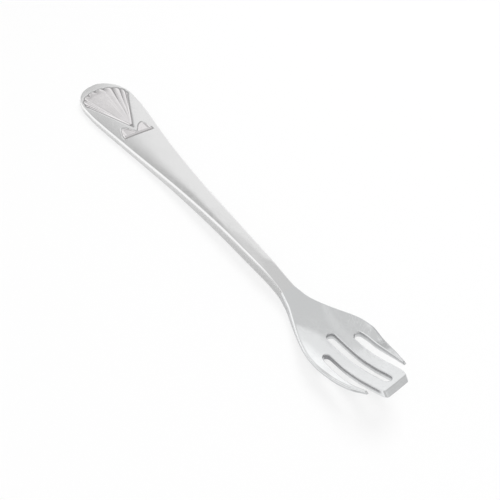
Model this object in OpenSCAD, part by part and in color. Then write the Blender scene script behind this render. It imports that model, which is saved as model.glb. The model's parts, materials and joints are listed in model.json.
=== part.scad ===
// Oyster fork: a small stamped and polished steel fork with a scallop shell on its handle.
// X runs along the fork, from the handle's end to the tines, Y is across, and Z is up from the
// table that it lies on. The metal is one sheet between a top surface and an underside. Each
// piece is a region of that sheet, so neighbouring pieces meet face to face on shared points.

/* [Handle] */
// Length from the handle's end to the narrowest place of the neck
handle_l = 108; // [100:1:125]
// Width of the handle at its broadest
end_w = 17.3; // [16:0.1:20]
// Length of the rounded end, from its tip to the broadest place
end_l = 13.8; // [11:0.1:18]
// Length of the flat pad that carries the shell
pad_l = 41; // [40:0.5:46]
// Thickness of the handle at the pad
pad_t = 2.5; // [1.8:0.1:3]
// Radius of the softened edges
edge_r = 0.5; // [0.2:0.05:0.6]

/* [Neck] */
// Width of the neck at its narrowest
neck_w = 3.2; // [2.6:0.1:4.5]
// Thickness of the neck where it is thickest
neck_t = 3.8; // [3.2:0.1:4]
// Height of the neck's top above the table
neck_h = 4.4; // [4.2:0.1:5.2]
// Length of the level top of the neck
level_l = 10; // [6:0.5:14]
// Distance from the end of the level top to the narrowest place
fall_l = 6; // [4:0.5:8]

/* [Head] */
// Length from the narrowest place of the neck to the upper edge of the blunt tip
head_l = 31.2; // [29:0.2:36]
// Greatest width of the bowl
head_w = 14.4; // [13.6:0.1:17]
// Distance from the tip back to the deepest place of the bowl
hollow_back = 19.7; // [18.5:0.1:22]
// Height of the bowl's deepest place above the table
hollow_h = 2.2; // [2:0.05:2.3]
// Thickness of the metal at the bowl's deepest place
hollow_t = 2.3; // [2.1:0.05:2.4]
// Height of the rim above the middle of the bowl
dish_d = 1.6; // [0.8:0.1:2.2]
// Height of the rim above the middle at the tips of the tines
tip_dish_d = 0.7; // [0.3:0.1:1.6]
// Thickness of the metal where the tines leave the bowl
root_t = 1.75; // [1.5:0.05:2]
// Height of the blunt tip's upper edge above the table
tip_h = 8.6; // [7:0.1:11]
// Thickness of the metal at the blunt tip
tip_t = 1.5; // [1.2:0.05:1.7]
// Radius of the blunt tip's corners
tip_corner_r = 0.6; // [0.3:0.05:0.9]

/* [Tines] */
// Width of the two inner tines together, where they leave the bowl
blade_w = 6.3; // [5.8:0.1:6.8]
// Width of the blunt tip
blade_tip_w = 5.3; // [4.8:0.1:5.8]
// Distance from the tip back to the round end of the middle slot
mid_slot_back = 14.7; // [13.2:0.1:16]
// Width of the middle slot at its round end
mid_slot_w = 1.9; // [1.4:0.1:2]
// Width of the middle slot where it closes again near the tip
mid_slot_end_w = 1.6; // [1:0.05:1.8]
// Length of the bar that joins the inner tines at the tip
bar_l = 1.8; // [1.6:0.1:3]
// Distance from the tip back to the round ends of the side slots
side_slot_back = 11.6; // [10:0.1:12.6]
// Width of each side slot at its round end
side_slot_w = 1.7; // [1.2:0.05:2]
// How far the outer tines stop short of the tip
outer_back = 2.1; // [1:0.1:3.5]
// Width over the points of the two outer tines
points_w = 9.5; // [9:0.1:10.5]
// Width of each outer tine's point
point_w = 0.4; // [0.3:0.05:0.6]
// Thickness of each outer tine's point
point_t = 0.8; // [0.6:0.05:0.95]

/* [Shell] */
// Radius of the round edge of the scallop fan
fan_r = 7.2; // [5:0.1:7.3]
// Distance from the handle's end to the middle of that round edge
fan_x = 12.2; // [12:0.1:14]
// Distance from the foot of the shell to the end of the flat pad
foot_gap = 3; // [2:0.1:4]
// Number of ribs on the fan
ribs = 9; // [7:2:11]
// Height of the ribs above the handle
fan_h = 0.45; // [0.35:0.05:0.7]
// Depth of the flutes between the ribs
flute_d = 0.25; // [0.1:0.05:0.3]
// How far each rib bulges past the round edge
scallop_d = 0.3; // [0.1:0.05:0.4]
// Distance from the hinge of the fan to the foot of the shell
foot_l = 4.3; // [3.5:0.1:4.5]
// Width of the foot of the shell
foot_w = 9.2; // [7:0.1:9.6]
// Length of the ears that stand on the foot
ear_l = 5.5; // [4:0.1:5.8]
// Height of the ears above the handle
ear_h = 0.4; // [0.3:0.05:0.6]
// Width of the bar along the foot
foot_bar_w = 0.8; // [0.5:0.05:1]
// Height of that bar above the ears
foot_bar_h = 0.1; // [0.05:0.05:0.2]

/* [Hidden] */

// Places along the fork
tip_x = handle_l + head_l;
level_end_x = handle_l - fall_l;
level_x = level_end_x - level_l;
hollow_x = tip_x - hollow_back;
mid_root_x = tip_x - mid_slot_back;
side_root_x = tip_x - side_slot_back;
bar_x = tip_x - bar_l;
corner_x = tip_x - tip_corner_r;
outer_x = tip_x - outer_back;
foot_x = pad_l - foot_gap;
hinge_x = foot_x - foot_l;
fan_l = hinge_x - fan_x;
bowl_start_share = 0.15;
bowl_x = handle_l + (side_root_x - handle_l) * bowl_start_share;

// Where the tines leave the bowl, measured from the middle
outer_root_w = (head_w - blade_w) / 2 - side_slot_w;
side_mid = (blade_w + side_slot_w) / 2;

// Share of the way from the broadest place to the neck, share of the width lost by then
taper_shares = [[0, 0], [0.07, 0.03], [0.14, 0.115], [0.29, 0.345], [0.43, 0.545],
    [0.55, 0.695], [0.7, 0.83], [0.83, 0.92], [0.93, 0.97], [1, 1]];
// Share of the way from the neck to the side slots, share of the width gained by then
spread_shares = [[0.15, 0.02], [0.31, 0.16], [0.46, 0.385], [0.61, 0.625], [0.77, 0.85],
    [0.89, 0.965], [1, 1]];
// Share of the way from the side slots to the outer points, share of the width lost by then
close_shares = [[0.36, 0.22], [0.72, 0.55], [0.88, 0.8], [1, 1]];
// Share of the way from the side slots to the tip, share of the blade's narrowing by then
blade_shares = [[0, 0], [0.7, 0.2], [0.88, 0.4], [1, 1]];
// Share of the way from the hollow to the tip, share of the climb by then
climb_shares = [[0.3, 0.07], [0.55, 0.205], [0.73, 0.45], [0.88, 0.755], [1, 1]];
// Share of the way from the neck to the side slots, share of the full dish by then
dish_shares = [[-0.2, 0], [0, 0.03], [0.3, 0.36], [0.6, 0.82], [1, 1]];
// Share of the way from the side slots to the tip, share of the dish lost by then
flatten_shares = [[0.5, 0.6], [1, 1]];
// How much thinner the rim of the bowl is than its middle
rim_thin_share = 0.25;
// How much of the thickness a softened edge may take from each face
edge_share = 0.4;

// Rows [place, value] of each curve, in the fork's own sizes
function between(a, b, share) = a + (b - a) * share;
function rows(x0, x1, v0, v1, shares) =
    [for (s = shares) [between(x0, x1, s[0]), between(v0, v1, s[1])]];
width_rows = concat(rows(end_l, handle_l, end_w / 2, neck_w / 2, taper_shares),
    rows(handle_l, side_root_x, neck_w / 2, head_w / 2, spread_shares),
    rows(side_root_x, outer_x, head_w / 2, points_w / 2, close_shares));
blade_rows = rows(side_root_x, tip_x, blade_w / 2, blade_tip_w / 2, blade_shares);
height_rows = concat([[0, pad_t], [pad_l, pad_t], [level_x, neck_h], [level_end_x, neck_h],
    [hollow_x, hollow_h]], rows(hollow_x, tip_x, hollow_h, tip_h, climb_shares));
dish_rows = concat(rows(handle_l, side_root_x, 0, dish_d, dish_shares),
    rows(side_root_x, tip_x, dish_d, tip_dish_d, flatten_shares));
thick_rows = [[0, pad_t], [pad_l, pad_t], [level_end_x, neck_t], [hollow_x, hollow_t],
    [side_root_x, root_t], [tip_x, tip_t]];

// A smooth curve through such rows that never overshoots them, and its slope
function row_at(t, x, k = 0) = (k > len(t) - 3 || x < t[k + 1][0]) ? k : row_at(t, x, k + 1);
function rise_at(t, k) = (t[k + 1][1] - t[k][1]) / (t[k + 1][0] - t[k][0]);
function blend_of(a, b) = a * b <= 0 ? 0 : 2 * a * b / (a + b);
function tangent_at(t, k) = k == 0 ? rise_at(t, 0)
    : k == len(t) - 1 ? rise_at(t, k - 1) : blend_of(rise_at(t, k - 1), rise_at(t, k));
function way_at(t, k, x) = min(max((x - t[k][0]) / (t[k + 1][0] - t[k][0]), 0), 1);
function curve(t, x) = let(k = row_at(t, x), h = t[k + 1][0] - t[k][0], u = way_at(t, k, x))
    between(t[k][1], t[k + 1][1], u * u * (3 - 2 * u))
    + h * u * (1 - u) * ((1 - u) * tangent_at(t, k) - u * tangent_at(t, k + 1));
function slope(t, x) = let(k = row_at(t, x), u = way_at(t, k, x))
    rise_at(t, k) * 6 * u * (1 - u) + tangent_at(t, k) * (1 - u) * (1 - 3 * u)
    + tangent_at(t, k + 1) * u * (3 * u - 2);

// Outline of the fork and of its slots, as distances from the middle line
function half_width(x) = x < end_l
    ? end_w / 2 * sqrt(1 - pow((end_l - x) / end_l, 2)) : curve(width_rows, x);
function corner_cut(x) = x < corner_x
    ? 0 : tip_corner_r - sqrt(pow(tip_corner_r, 2) - pow(x - corner_x, 2));
function blade_half(x) = curve(blade_rows, x) - corner_cut(x);
function point_way(x) = (x - side_root_x) / (outer_x - side_root_x);
function outer_tine_edge(x) = half_width(x) - between(outer_root_w, point_w, point_way(x));
function mid_way(x) = min(max((x - mid_root_x) / (bar_x - mid_root_x), 0), 1);
function mid_half(x) = let(u = mid_way(x))
    between(mid_slot_w, mid_slot_end_w, u * u * (3 - 2 * u)) / 2;

// Distance from a place on the sheet to the nearest free edge
function rim_gap(x, y) = x < end_l
    ? (1 - norm([(end_l - x) / end_l, 2 * y / end_w])) * end_w / 2 : half_width(x) - abs(y);
function mid_gap(x, y) = x < mid_root_x ? norm([mid_root_x - x, y]) - mid_slot_w / 2
    : x > bar_x ? norm([x - bar_x, y]) - mid_slot_end_w / 2 : abs(y) - mid_half(x);
function side_gap(x, y) = x < side_root_x
    ? norm([side_root_x - x, abs(y) - side_mid]) - side_slot_w / 2
    : abs(y) > side_mid ? abs(y) - outer_tine_edge(x) : blade_half(x) - abs(y);
function edge_gap(x, y) = max(0, min(rim_gap(x, y), mid_gap(x, y), side_gap(x, y)));

// Height of the sheet's top, its thickness, and what a softened edge takes off each face
function sheet_h(x, y) = curve(height_rows, x)
    + curve(dish_rows, x) * pow(2 * y / head_w, 2);
function point_thin(x, y) = (x > side_root_x && abs(y) > side_mid)
    ? (1 - point_t / curve(thick_rows, outer_x)) * pow(point_way(x), 2) : 0;
function rim_thin(x, y) = rim_thin_share * curve(dish_rows, x) / dish_d
    * pow(2 * y / head_w, 2);
function sheet_t(x, y) = curve(thick_rows, x) * (1 - point_thin(x, y)) * (1 - rim_thin(x, y));
function softening(x, y) = let(r = min(edge_r, edge_share * sheet_t(x, y)), d = edge_gap(x, y))
    d < r ? r - sqrt(r * r - pow(r - d, 2)) : 0;
function top_point(p) = [p[0], p[1], sheet_h(p[0], p[1]) - softening(p[0], p[1])];
function under_point(p) = let(s = slope(height_rows, p[0]), t = sheet_t(p[0], p[1]) / norm([1, s]))
    [p[0] + t * s, p[1], max(0, sheet_h(p[0], p[1]) - t + softening(p[0], p[1]))];

// Whole length: the lower edge of the sloping tip reaches furthest
fork_l = under_point([tip_x, 0])[0];

// The middle of the fork's length stands at the origin
module centred() {
    translate([-fork_l / 2, 0, 0]) children();
}

// Closed solid over a grid of places, rows along X and columns along Y. Both faces and all
// four sides are cut into triangles the same way, so shared sides match on both pieces.
module sheet(grid) {
    n = len(grid) - 1;
    m = len(grid[0]) - 1;
    under = (n + 1) * (m + 1);
    function at(i, j) = i * (m + 1) + j;
    function quad(a, b, c, d) = [[a, b, c], [a, c, d]];
    faces = concat(
        [for (i = [0:n - 1], j = [0:m - 1])
            each quad(at(i, j), at(i, j + 1), at(i + 1, j + 1), at(i + 1, j))],
        [for (i = [0:n - 1], j = [0:m - 1]) each quad(under + at(i, j), under + at(i + 1, j),
            under + at(i + 1, j + 1), under + at(i, j + 1))],
        [for (i = [0:n - 1]) each quad(under + at(i, 0), at(i, 0), at(i + 1, 0),
            under + at(i + 1, 0))],
        [for (i = [0:n - 1]) each quad(at(i, m), under + at(i, m), under + at(i + 1, m),
            at(i + 1, m))],
        [for (j = [0:m - 1]) each quad(at(0, j), under + at(0, j), under + at(0, j + 1),
            at(0, j + 1))],
        [for (j = [0:m - 1]) each [[at(n, j), at(n, j + 1), under + at(n, j + 1)],
            [at(n, j), under + at(n, j + 1), under + at(n, j)]]]);
    points = concat([for (row = grid) each [for (p = row) top_point(p)]],
        [for (row = grid) each [for (p = row) under_point(p)]]);
    centred() polyhedron(points, faces);
}

// Shares of the way across a tine, which crowd towards its softened edges
tine_steps = 6;
crowded = [for (k = [0:tine_steps]) (1 - cos(180 * k / tine_steps)) / 2];
function mirrored(list) = [for (k = [len(list) - 1:-1:0]) [list[k][0], -list[k][1]]];
function tail(list) = [for (k = [1:len(list) - 1]) list[k]];

// Places along the front of the bowl: round slot ends between the roots of the tines
arc_steps = 6;
mid_arc = [for (k = [0:arc_steps / 2]) let(a = 180 * k / arc_steps)
    [mid_root_x - mid_slot_w / 2 * cos(a), mid_slot_w / 2 * sin(a)]];
inner_root = [for (v = crowded) let(x = between(mid_root_x, side_root_x, v))
    [x, between(mid_half(x), blade_w / 2, v)]];
side_arc = [for (k = [0:arc_steps]) let(a = 180 * k / arc_steps)
    [side_root_x - side_slot_w / 2 * sin(a), side_mid - side_slot_w / 2 * cos(a)]];
outer_root = [for (v = crowded) [side_root_x, between(side_mid + side_slot_w / 2, head_w / 2, v)]];
front_half = concat(mid_arc, tail(inner_root), tail(side_arc), tail(outer_root));
front = concat(mirrored(tail(front_half)), front_half);
width_shares = [for (p = front) p[1] / half_width(p[0])];

// A grid across the whole width, with a row at each place, and one that runs to the front
function full_rows(places) = [for (x = places) [for (s = width_shares) [x, s * half_width(x)]]];
function even(a, b, steps) = [for (k = [0:steps]) between(a, b, k / steps)];

// Rows round the handle's end, from a first narrow one, and rows from the neck to the tines
first_angle = 4;
round_steps = 9;
round_places = [for (k = [0:round_steps])
    end_l * (1 - cos(between(first_angle, 90, k / round_steps)))];
bowl_shares = [0, 0.14, 0.28, 0.42, 0.55, 0.67, 0.78, 0.87, 0.94, 0.98, 1];

// The pad is a flat plate inside its softened edges
pad_places = concat(round_places, tail(even(end_l, pad_l, 6)));
plate_share = 0.85;
plate_outline = [for (x = pad_places) [between(pad_l, x, plate_share), plate_share * half_width(x)]];

module handle_end() {
    color("gainsboro") union() {
        sheet(full_rows(pad_places));
        centred() linear_extrude(pad_t) polygon(concat(plate_outline, mirrored(plate_outline)));
    }
}

module handle_stem() {
    color("gainsboro") sheet(full_rows(even(pad_l, level_x, 10)));
}

module neck() {
    color("gainsboro") sheet(full_rows(even(level_x, bowl_x, 8)));
}

module bowl() {
    color("lightgray") sheet([for (w = bowl_shares) [for (k = [0:len(front) - 1])
        let(x = between(bowl_x, front[k][0], w)) [x, width_shares[k] * half_width(x)]]]);
}

// Grids of the tines on the left, each from its root to its end
tine_shares = even(0, 1, 12);
outer_grid = [for (w = tine_shares) let(x = between(side_root_x, outer_x, w))
    [for (v = crowded) [x, between(outer_tine_edge(x), half_width(x), v)]]];
inner_grid = [for (w = tine_shares) [for (k = [0:tine_steps])
    let(x = between(inner_root[k][0], bar_x, w))
    [x, between(mid_half(x), blade_half(x), crowded[k])]]];

module tine_outer_left() {
    color("silver") sheet(outer_grid);
}

module tine_outer_right() {
    color("silver") sheet([for (row = outer_grid) mirrored(row)]);
}

module tine_inner_left() {
    color("silver") sheet(inner_grid);
}

module tine_inner_right() {
    color("silver") sheet([for (row = inner_grid) mirrored(row)]);
}

// Bar across the tip: it closes the middle slot and ends in the blunt face
bar_side = [for (v = crowded) [bar_x, between(mid_slot_end_w / 2, blade_half(bar_x), v)]];
bar_arc = [for (k = [0:arc_steps]) let(a = 180 * k / arc_steps - 90)
    [bar_x + mid_slot_end_w / 2 * cos(a), mid_slot_end_w / 2 * sin(a)]];
bar_back = concat(mirrored(tail(bar_side)), bar_arc, tail(bar_side));
bar_shares = [0, 0.3, 0.55, 0.72, 0.84, 0.93, 0.98, 1];

module tip_bar() {
    color("lightgray") sheet([for (w = bar_shares) [for (p = bar_back)
        let(x = between(p[0], tip_x, w)) [x, p[1] / blade_half(p[0]) * blade_half(x)]]]);
}

// Scallop fan: ribs spread from the hinge to a scalloped edge round the handle's end
rib_steps = 4;
fan_spread = 90 + asin(fan_r / fan_l);
spread_steps = even(0, 1, ribs * rib_steps);
// Share of the way from the hinge to the edge, share of the ribs' height there, and share of
// the flutes' depth there
fan_shares = [[0.1, 0.5, 0], [0.2, 0.75, 0], [0.32, 0.9, 0.1], [0.45, 1, 0.35], [0.58, 1, 0.6],
    [0.7, 1, 0.8], [0.81, 1, 0.95], [0.9, 0.97, 1], [0.96, 0.85, 1], [1, 0.6, 0.8]];
function rib_bulge(s) = sin(180 * (s * ribs - floor(s * ribs)));
function fan_edge(s) = let(a = fan_spread * (2 * s - 1), r = fan_r + scallop_d * rib_bulge(s))
    [fan_x - r * cos(a), r * sin(a)];
function fan_point(w, s) = let(p = fan_edge(s)) [between(hinge_x, p[0], w[0]), p[1] * w[0],
    pad_t + fan_h * w[1] - flute_d * w[2] * (1 - rib_bulge(s))];

module shell_fan() {
    n = len(fan_shares) - 1;
    m = len(spread_steps) - 1;
    count = (n + 1) * (m + 1);
    function at(k, j) = k * (m + 1) + j;
    tops = [for (w = fan_shares) each [for (s = spread_steps) fan_point(w, s)]];
    rim = concat([for (j = [0:m]) at(0, j)], [for (k = [1:n]) at(k, m)],
        [for (j = [m - 1:-1:0]) at(n, j)], [for (k = [n - 1:-1:1]) at(k, 0)]);
    feet = [for (i = rim) [tops[i][0], tops[i][1], pad_t]];
    foot_ring = [for (i = [0:len(rim) - 1]) count + i];
    walls = [for (i = [0:len(rim) - 1]) let(j = (i + 1) % len(rim))
        each [[rim[i], rim[j], count + j], [rim[i], count + j, count + i]]];
    covers = [for (k = [0:n - 1], j = [0:m - 1])
        each [[at(k, j), at(k + 1, j), at(k + 1, j + 1)], [at(k, j), at(k + 1, j + 1), at(k, j + 1)]]];
    color("whitesmoke") centred()
        polyhedron(concat(tops, feet), concat(covers, walls, [foot_ring]));
}

// Foot of the shell: two ears on a straight bar. Each row is a share of the ears' length, from
// the bar, and a share of half the foot's width
bar_end_share = 0.97;
ear_shares = [[0.26, 0], [0.9, 0.48], [1, 0.7], [0.74, 0.87], [0.2, 1], [0, bar_end_share]];
ear_outline = [for (s = ear_shares) [foot_x - ear_l * s[0], foot_w / 2 * s[1]]];

module shell_foot() {
    foot_bar_l = foot_w * bar_end_share;
    color("whitesmoke") centred() translate([0, 0, pad_t]) {
        linear_extrude(ear_h)
            polygon(concat(ear_outline, mirrored(tail(ear_outline))));
        translate([foot_x - foot_bar_w, -foot_bar_l / 2, 0])
            cube([foot_bar_w, foot_bar_l, ear_h + foot_bar_h]);
    }
}

handle_end();
handle_stem();
neck();
bowl();
tine_outer_left();
tine_inner_left();
tine_inner_right();
tine_outer_right();
tip_bar();
shell_fan();
shell_foot();
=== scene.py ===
# %% [markdown]
# # An oyster fork in polished steel
# A small fork for oysters and shellfish. The real one is cut from steel sheet, rolled thinner
# towards the tines, pressed in a die that dishes the bowl and raises a scallop shell on the
# handle, and then tumbled and polished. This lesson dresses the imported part: the same sheet is
# made again with a much finer mesh and true rounded edges, and gets its steel.

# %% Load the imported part
import json
import math

import bpy
import numpy as np
from mathutils import Matrix, Vector


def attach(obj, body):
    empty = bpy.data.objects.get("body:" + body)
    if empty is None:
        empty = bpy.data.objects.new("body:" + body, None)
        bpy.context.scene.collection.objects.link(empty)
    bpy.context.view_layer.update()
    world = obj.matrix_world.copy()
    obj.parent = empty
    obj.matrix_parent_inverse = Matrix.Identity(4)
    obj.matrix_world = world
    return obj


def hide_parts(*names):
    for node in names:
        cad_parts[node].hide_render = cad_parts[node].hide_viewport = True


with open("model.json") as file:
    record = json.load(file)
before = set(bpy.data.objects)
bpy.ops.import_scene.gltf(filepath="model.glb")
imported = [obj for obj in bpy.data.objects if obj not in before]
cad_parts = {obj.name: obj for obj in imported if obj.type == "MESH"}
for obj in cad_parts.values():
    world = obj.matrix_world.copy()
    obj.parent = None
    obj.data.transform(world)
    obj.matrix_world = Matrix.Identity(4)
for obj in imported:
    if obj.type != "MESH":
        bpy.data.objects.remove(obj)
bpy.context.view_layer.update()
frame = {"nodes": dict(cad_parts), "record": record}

print("nodes:", ", ".join(sorted(frame["nodes"])))

# %% [markdown]
# ## Sizes
# All sizes are in millimetres, in the fork's own measure: x runs from the handle's end to the
# tines, y across, z up from the table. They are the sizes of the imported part, written again here
# because a finer mesh needs the curves themselves and not the corners of the part's faces.

# %% Sizes of the fork
def between(a, b, share):
    """The value a share of the way from a to b."""
    return a + (b - a) * share


MM = 0.001
HANDLE_L, END_W, END_L, PAD_L, PAD_T = 108, 17.3, 13.8, 41, 2.5
NECK_W, NECK_T, NECK_H, LEVEL_L, FALL_L = 3.2, 3.8, 4.4, 10, 6
HEAD_L, HEAD_W, HOLLOW_BACK, HOLLOW_H, HOLLOW_T = 31.2, 14.4, 19.7, 2.2, 2.3
DISH_D, TIP_DISH_D, ROOT_T, TIP_H, TIP_T, TIP_CORNER_R = 1.6, 0.7, 1.75, 8.6, 1.5, 0.6
BLADE_W, BLADE_TIP_W, BAR_L, OUTER_BACK = 6.3, 5.3, 1.8, 2.1
MID_SLOT_BACK, MID_SLOT_W, MID_SLOT_END_W = 14.7, 1.9, 1.6
SIDE_SLOT_BACK, SIDE_SLOT_W = 11.6, 1.7
POINTS_W, POINT_W, POINT_T = 9.5, 0.4, 0.8
FAN_R, FAN_X, FAN_L, RIBS, FAN_H, FLUTE_D, SCALLOP_D = 7.2, 12.2, 21.5, 9, 0.45, 0.25, 0.3
FOOT_L, FOOT_W, EAR_L, EAR_H, FOOT_BAR_W, FOOT_BAR_H = 4.3, 9.2, 5.5, 0.4, 0.8, 0.1
BOWL_START_SHARE = 0.15

TIP_X = HANDLE_L + HEAD_L
LEVEL_END_X = HANDLE_L - FALL_L
LEVEL_X = LEVEL_END_X - LEVEL_L
HOLLOW_X = TIP_X - HOLLOW_BACK
MID_ROOT_X = TIP_X - MID_SLOT_BACK
SIDE_ROOT_X = TIP_X - SIDE_SLOT_BACK
BAR_X = TIP_X - BAR_L
CORNER_X = TIP_X - TIP_CORNER_R
OUTER_X = TIP_X - OUTER_BACK
HINGE_X = FAN_X + FAN_L
FOOT_X = HINGE_X + FOOT_L
BOWL_X = between(HANDLE_L, SIDE_ROOT_X, BOWL_START_SHARE)
OUTER_ROOT_W = (HEAD_W - BLADE_W) / 2 - SIDE_SLOT_W
SIDE_MID = (BLADE_W + SIDE_SLOT_W) / 2
print("length along the top:", TIP_X, "mm")

# %% [markdown]
# ## Smooth curves through a few rows
# The outline, the height and the thickness change along the fork. Each is a short list of rows,
# a place and a value, with a smooth curve through them that never overshoots. A Bezier curve
# object could do it too, but rows keep the shape editable by hand: move one row and the metal
# follows.

# %% A smooth curve through rows
TINY = 1e-12


class Curve:
    """A smooth curve through rows of place and value that never overshoots them."""

    def __init__(self, rows):
        self.at, self.value = np.array(rows, float).T
        self.step = np.diff(self.at)
        rise = np.diff(self.value) / self.step
        before, after = rise[:-1], rise[1:]
        turn = np.where(before * after > 0, 2 * before * after / (before + after + TINY), 0)
        self.rise = rise
        self.tangent = np.concatenate([rise[:1], turn, rise[-1:]])

    def place(self, x):
        """The stretch that x lies on, and how far along it."""
        k = np.clip(np.searchsorted(self.at, x, side="right") - 1, 0, len(self.step) - 1)
        return k, np.clip((x - self.at[k]) / self.step[k], 0, 1)

    def __call__(self, x):
        k, u = self.place(x)
        a, b = self.value[k], self.value[k + 1]
        bend = (1 - u) * self.tangent[k] - u * self.tangent[k + 1]
        return a + (b - a) * u * u * (3 - 2 * u) + self.step[k] * u * (1 - u) * bend

    def slope(self, x):
        """How much the curve rises at x, per millimetre."""
        k, u = self.place(x)
        start = self.tangent[k] * (1 - u) * (1 - 3 * u)
        end = self.tangent[k + 1] * u * (3 * u - 2)
        return self.rise[k] * 6 * u * (1 - u) + start + end


def rows(x0, x1, v0, v1, shares):
    """Rows between two places and two values, from shares of the way."""
    return [(between(x0, x1, a), between(v0, v1, b)) for a, b in shares]


TAPER_SHARES = [(0, 0), (0.07, 0.03), (0.14, 0.115), (0.29, 0.345), (0.43, 0.545), (0.55, 0.695),
                (0.7, 0.83), (0.83, 0.92), (0.93, 0.97), (1, 1)]
SPREAD_SHARES = [(0.15, 0.02), (0.31, 0.16), (0.46, 0.385), (0.61, 0.625), (0.77, 0.85),
                 (0.89, 0.965), (1, 1)]
CLOSE_SHARES = [(0.36, 0.22), (0.72, 0.55), (0.88, 0.8), (1, 1)]
BLADE_SHARES = [(0, 0), (0.7, 0.2), (0.88, 0.4), (1, 1)]
CLIMB_SHARES = [(0.3, 0.07), (0.55, 0.205), (0.73, 0.45), (0.88, 0.755), (1, 1)]
DISH_SHARES = [(-0.2, 0), (0, 0.03), (0.3, 0.36), (0.6, 0.82), (1, 1)]
FLATTEN_SHARES = [(0.5, 0.6), (1, 1)]
RIM_THIN_SHARE = 0.25
EDGE_SHARE = 0.4

width_curve = Curve(rows(END_L, HANDLE_L, END_W / 2, NECK_W / 2, TAPER_SHARES)
                    + rows(HANDLE_L, SIDE_ROOT_X, NECK_W / 2, HEAD_W / 2, SPREAD_SHARES)
                    + rows(SIDE_ROOT_X, OUTER_X, HEAD_W / 2, POINTS_W / 2, CLOSE_SHARES))
blade_curve = Curve(rows(SIDE_ROOT_X, TIP_X, BLADE_W / 2, BLADE_TIP_W / 2, BLADE_SHARES))
height_curve = Curve([(0, PAD_T), (PAD_L, PAD_T), (LEVEL_X, NECK_H), (LEVEL_END_X, NECK_H),
                      (HOLLOW_X, HOLLOW_H)]
                     + rows(HOLLOW_X, TIP_X, HOLLOW_H, TIP_H, CLIMB_SHARES))
dish_curve = Curve(rows(HANDLE_L, SIDE_ROOT_X, 0, DISH_D, DISH_SHARES)
                   + rows(SIDE_ROOT_X, TIP_X, DISH_D, TIP_DISH_D, FLATTEN_SHARES))
thick_curve = Curve([(0, PAD_T), (PAD_L, PAD_T), (LEVEL_END_X, NECK_T), (HOLLOW_X, HOLLOW_T),
                     (SIDE_ROOT_X, ROOT_T), (TIP_X, TIP_T)])
print("neck is", round(float(2 * width_curve(HANDLE_L)), 2), "mm wide")

# %% [markdown]
# ## The outline and its edges
# A press cuts the outline and the slots, and tumbling rounds every cut edge: the open rim well,
# the blunt tip less, and the narrow slots hardly at all, because the grinding stones don't reach
# into them. A Bevel modifier could round them, but its width is hard to vary along the fork.
# Here the sheet knows, at each place, how far its edges are: closer than the edge's radius, the
# metal falls away in a quarter round.

# %% Distances to the edges
def half_width(x):
    """Half the fork's width. The handle's end is half an ellipse."""
    round_end = END_W / 2 * np.sqrt(np.clip(1 - (np.maximum(END_L - x, 0) / END_L) ** 2, 0, 1))
    return np.where(x < END_L, round_end, width_curve(x))


def blade_half(x):
    """Half the width over both inner tines, with the tip's corners rounded."""
    past = np.clip(x - CORNER_X, 0, TIP_CORNER_R)
    return blade_curve(x) - (TIP_CORNER_R - np.sqrt(TIP_CORNER_R ** 2 - past ** 2))


def point_way(x):
    """Share of the way along an outer tine, from its root to its point."""
    return (x - SIDE_ROOT_X) / (OUTER_X - SIDE_ROOT_X)


def outer_tine_edge(x):
    """The inner edge of an outer tine."""
    return half_width(x) - between(OUTER_ROOT_W, POINT_W, point_way(x))


def mid_half(x):
    """Half the width of the middle slot, which narrows towards the tip."""
    u = np.clip((x - MID_ROOT_X) / (BAR_X - MID_ROOT_X), 0, 1)
    return between(MID_SLOT_W, MID_SLOT_END_W, u * u * (3 - 2 * u)) / 2


def edge_gaps(x, y):
    """Distances to the rim, to the nearest slot and to the ends of the tines."""
    far = np.abs(y)
    rim = np.where(x < END_L, (1 - np.hypot((END_L - x) / END_L, 2 * y / END_W)) * END_W / 2,
                   half_width(x) - far)
    mid = np.where(x < MID_ROOT_X, np.hypot(MID_ROOT_X - x, y) - MID_SLOT_W / 2,
                   np.where(x > BAR_X, np.hypot(x - BAR_X, y) - MID_SLOT_END_W / 2,
                            far - mid_half(x)))
    side = np.where(x < SIDE_ROOT_X,
                    np.hypot(SIDE_ROOT_X - x, far - SIDE_MID) - SIDE_SLOT_W / 2,
                    np.where(far > SIDE_MID, far - outer_tine_edge(x), blade_half(x) - far))
    tip = np.where(far < SIDE_MID, TIP_X - x, OUTER_X - x)
    return np.maximum(0, [rim, np.minimum(mid, side), tip])


print("distances in the hollow's middle:", edge_gaps(HOLLOW_X, 0.0).round(2), "mm")

# %% [markdown]
# ## The scallop shell's outline
# The die presses the shell up and leaves a fine groove all round it, and that groove, painted
# darker as painted shade, is what draws the shell in polished steel. The fan is a round edge with
# two straight sides that meet at the hinge, and each rib bulges a little past the round edge.
# Below the hinge two ears stand on a straight foot. A drawn curve could give this outline too, but
# a distance to it, by formula, serves the groove, the relief, and its painted shade and finish
# alike.

# %% Distances to the shell's outline
FAN_LEAN = FAN_R / FAN_L
FAN_UPRIGHT = math.sqrt(1 - FAN_LEAN ** 2)
FAN_SPREAD = math.pi / 2 + math.asin(FAN_LEAN)
GROOVE_W, GROOVE_D, WORN_SIDE_SHARE, EAR_LEAN_SHARE = 0.5, 0.1, 0.65, 0.8
EAR_SHARES = [(0, 0.26), (0.48, 0.9), (0.7, 1), (0.87, 0.74), (1, 0.2)]
ear_curve = Curve([(FOOT_W / 2 * a, FOOT_X - EAR_L * b) for a, b in EAR_SHARES])


def rib_bulge(s):
    """One on top of each rib and 0 between two, for a share s of the way round the fan."""
    return np.abs(np.sin(np.pi * s * RIBS))


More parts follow.
